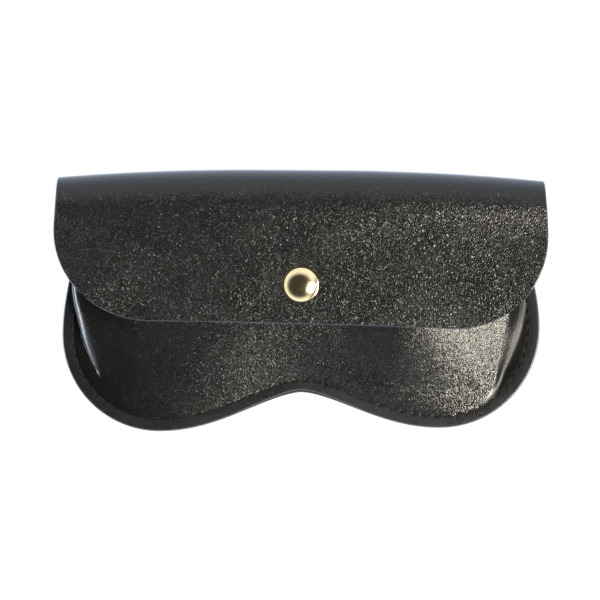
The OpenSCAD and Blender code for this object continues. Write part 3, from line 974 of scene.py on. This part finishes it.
socket_outline = drawn((2.0, 4.1), (5.05, 4.1), (5.3, 3.9), (5.3, 3.5), (5.0, 3.25), (4.75, 2.7),
                       (4.7, 1.2), (4.4, 0.8), (3.4, 0.8), (3.15, 1.0), (3.2, 1.3), (3.9, 1.5),
                       (4.1, 2.0), (3.9, 2.6), (3.3, 2.95), (3.2, 3.55), (2.0, 3.6))
turned("socket", socket_outline, plain_brass, "flap", "snap_socket", closed=True)

# Ring spring: a split ring of steel wire in the socket's channel. It opens
# over the stud's head and closes round its neck.
spring_r = 3.4 * mm
wire_r = 0.4 * mm
spring_h = 2.02 * mm
spring_gap = math.radians(30)
spring_steps = 54
wire_sides = 12
spring = bmesh.new()
wire = bmesh.ops.create_circle(spring, segments=wire_sides, radius=wire_r, cap_ends=True)["verts"]
on_end = Matrix.Rotation(math.pi / 2, 3, "X")
bmesh.ops.rotate(spring, verts=wire, cent=(0, 0, 0), matrix=on_end)
bmesh.ops.translate(spring, verts=wire, vec=(spring_r, 0, spring_h))
to_gap = Matrix.Rotation(spring_gap / 2 - math.pi / 2, 3, "Z")
bmesh.ops.rotate(spring, verts=wire, cent=(0, 0, 0), matrix=to_gap)
start_cap = spring.faces[:]
bmesh.ops.spin(spring, geom=start_cap, cent=(0, 0, 0), axis=(0, 0, 1),
               angle=2 * math.pi - spring_gap, steps=spring_steps)
bmesh.ops.recalc_face_normals(spring, faces=spring.faces)
for face in spring.faces:
    face.smooth = len(face.verts) == 4
bmesh.ops.transform(spring, matrix=snap_axis, verts=spring.verts)
spring_steel = brass_finish("spring_steel", (0.56, 0.55, 0.53), 0.22)
spring_piece = placed("ring_spring", spring, [spring_steel])
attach(spring_piece, "flap")
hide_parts("snap_spring")

# Stud: a turned brass post with a rounded head on a wide base, set on the
# front panel where the flap's socket comes down.
stud_outline = drawn((0, 2.75), (1.95, 2.75), *arc(2.05, 2.3, 0.45, 80, -20, 5), (2.2, 1.7),
                     (2.2, 0.95), (2.55, 0.6), (4.6, 0.5), (4.95, 0.3), (5.0, 0.05), (4.9, 0), (0, 0))
turned("stud", stud_outline, plain_brass, "pouch", "snap_stud")

# Eyelet: a flanged brass tube pushed through from inside the pouch and
# riveted into the stud, which clamps the front panel between them.
eyelet_outline = drawn((1.2, -1.95), (4.5, -1.9), (4.8, -1.7), (4.7, -1.42),
                       (1.7, -1.4), (1.7, 0.3), (1.9, 0.4), (1.2, 0.45))
turned("eyelet", eyelet_outline, plain_brass, "pouch", "snap_eyelet", closed=True)

# Stage: a white table in a cool, pale room that is dark overhead and dim on
# the right. A large warm lamp stands at the right and a low cool one at the
# left, and the camera looks straight down on the case.
table_half = 2.0
table_gap = 0.25 * mm
table_mesh = bmesh.new()
bmesh.ops.create_grid(table_mesh, x_segments=1, y_segments=1, size=table_half)
bmesh.ops.translate(table_mesh, verts=table_mesh.verts, vec=(0, 0, -table_gap))
paper = new_finish("white_table")
path = paper.add("LightPath").outputs
seen = paper.math("MAXIMUM", path["Is Camera Ray"], path["Is Glossy Ray"])
seen = paper.math("MAXIMUM", seen, path["Is Transmission Ray"])
bright = paper.colours(path["Is Camera Ray"], (1.4, 1.6, 2), (0.94, 0.94, 0.94))
glow = paper.add("Emission", {"Color": bright, "Strength": 1.0}).outputs[0]
matte = paper.add("BsdfDiffuse", {"Color": (0.1, 0.1, 0.1, 1)}).outputs[0]
lit = paper.add("AddShader", {0: glow, 1: matte}).outputs[0]
plain = paper.add("BsdfDiffuse", {"Color": (0.8, 0.8, 0.8, 1)}).outputs[0]
both = paper.add("MixShader", {0: seen, 1: plain, 2: lit}).outputs[0]
paper.feed(paper.tree.nodes["Material Output"].inputs["Surface"], both)
table = placed("table", table_mesh, [paper.owner])

world = bpy.data.worlds.new("room")
bpy.context.scene.world = world
room = Nodes(world)
toward = room.add("TexCoord").outputs["Generated"]


def facing(direction, start, full):
    """How much a part of the room lies in a direction: 0 up to start, 1 from full on."""
    along = room.add("VectorMath", {0: toward, 1: direction}, operation="DOT_PRODUCT")
    return room.add("MapRange", {"Value": along.outputs["Value"], "From Min": start, "From Max": full},
                    interpolation_type="SMOOTHSTEP").outputs["Result"]


walls = room.colours(facing((0, 0, 1), 0.1, 0.5), (1.35, 1.5, 1.8), (1.15, 1.15, 1.15))
dimmed = room.colours(facing((0.94, -0.33, 0), 0.55, 0.85), walls, (0.25, 0.27, 0.32))
ceiling = room.colours(facing((-0.1, -0.24, 1), 0.6, 0.8), dimmed, (0.05, 0.046, 0.042))
room.feed(room.tree.nodes["Background"].inputs["Color"], ceiling)


def lamp(name, size, power, colour, place, aim):
    """A soft rectangular lamp, turned to what it lights and not seen itself."""
    light = bpy.data.lights.new(name, "AREA")
    light.shape = "RECTANGLE"
    light.size, light.size_y = size
    light.energy = power
    light.color = colour
    hung = bpy.data.objects.new(name, light)
    bpy.context.scene.collection.objects.link(hung)
    hung.location = place
    hung.rotation_euler = (aim - place).to_track_quat("-Z", "Y").to_euler()
    hung.visible_camera = False


right_lobe = Vector((57, -17, 9)) * mm
right_place = right_lobe + 1.6 * Vector((0.597, -0.308, 0.741))
left_place = Vector((-0.6, -0.05, 0.085))
lamp("soft_lamp", (0.85, 0.55), 55.0, (1, 0.94, 0.79), right_place, right_lobe)
lamp("side_lamp", (0.5, 0.1), 4.0, (0.82, 0.9, 1), left_place, Vector((0, 0, 0)))

camera_data = bpy.data.cameras.new("camera")
camera_data.lens = 111
camera_data.sensor_width = 36
camera = bpy.data.objects.new("camera", camera_data)
bpy.context.scene.collection.objects.link(camera)
camera.location = (-0.35 * mm, 0.24 * mm, 640 * mm)
bpy.context.scene.camera = camera
bpy.context.scene.view_settings.view_transform = "Standard"
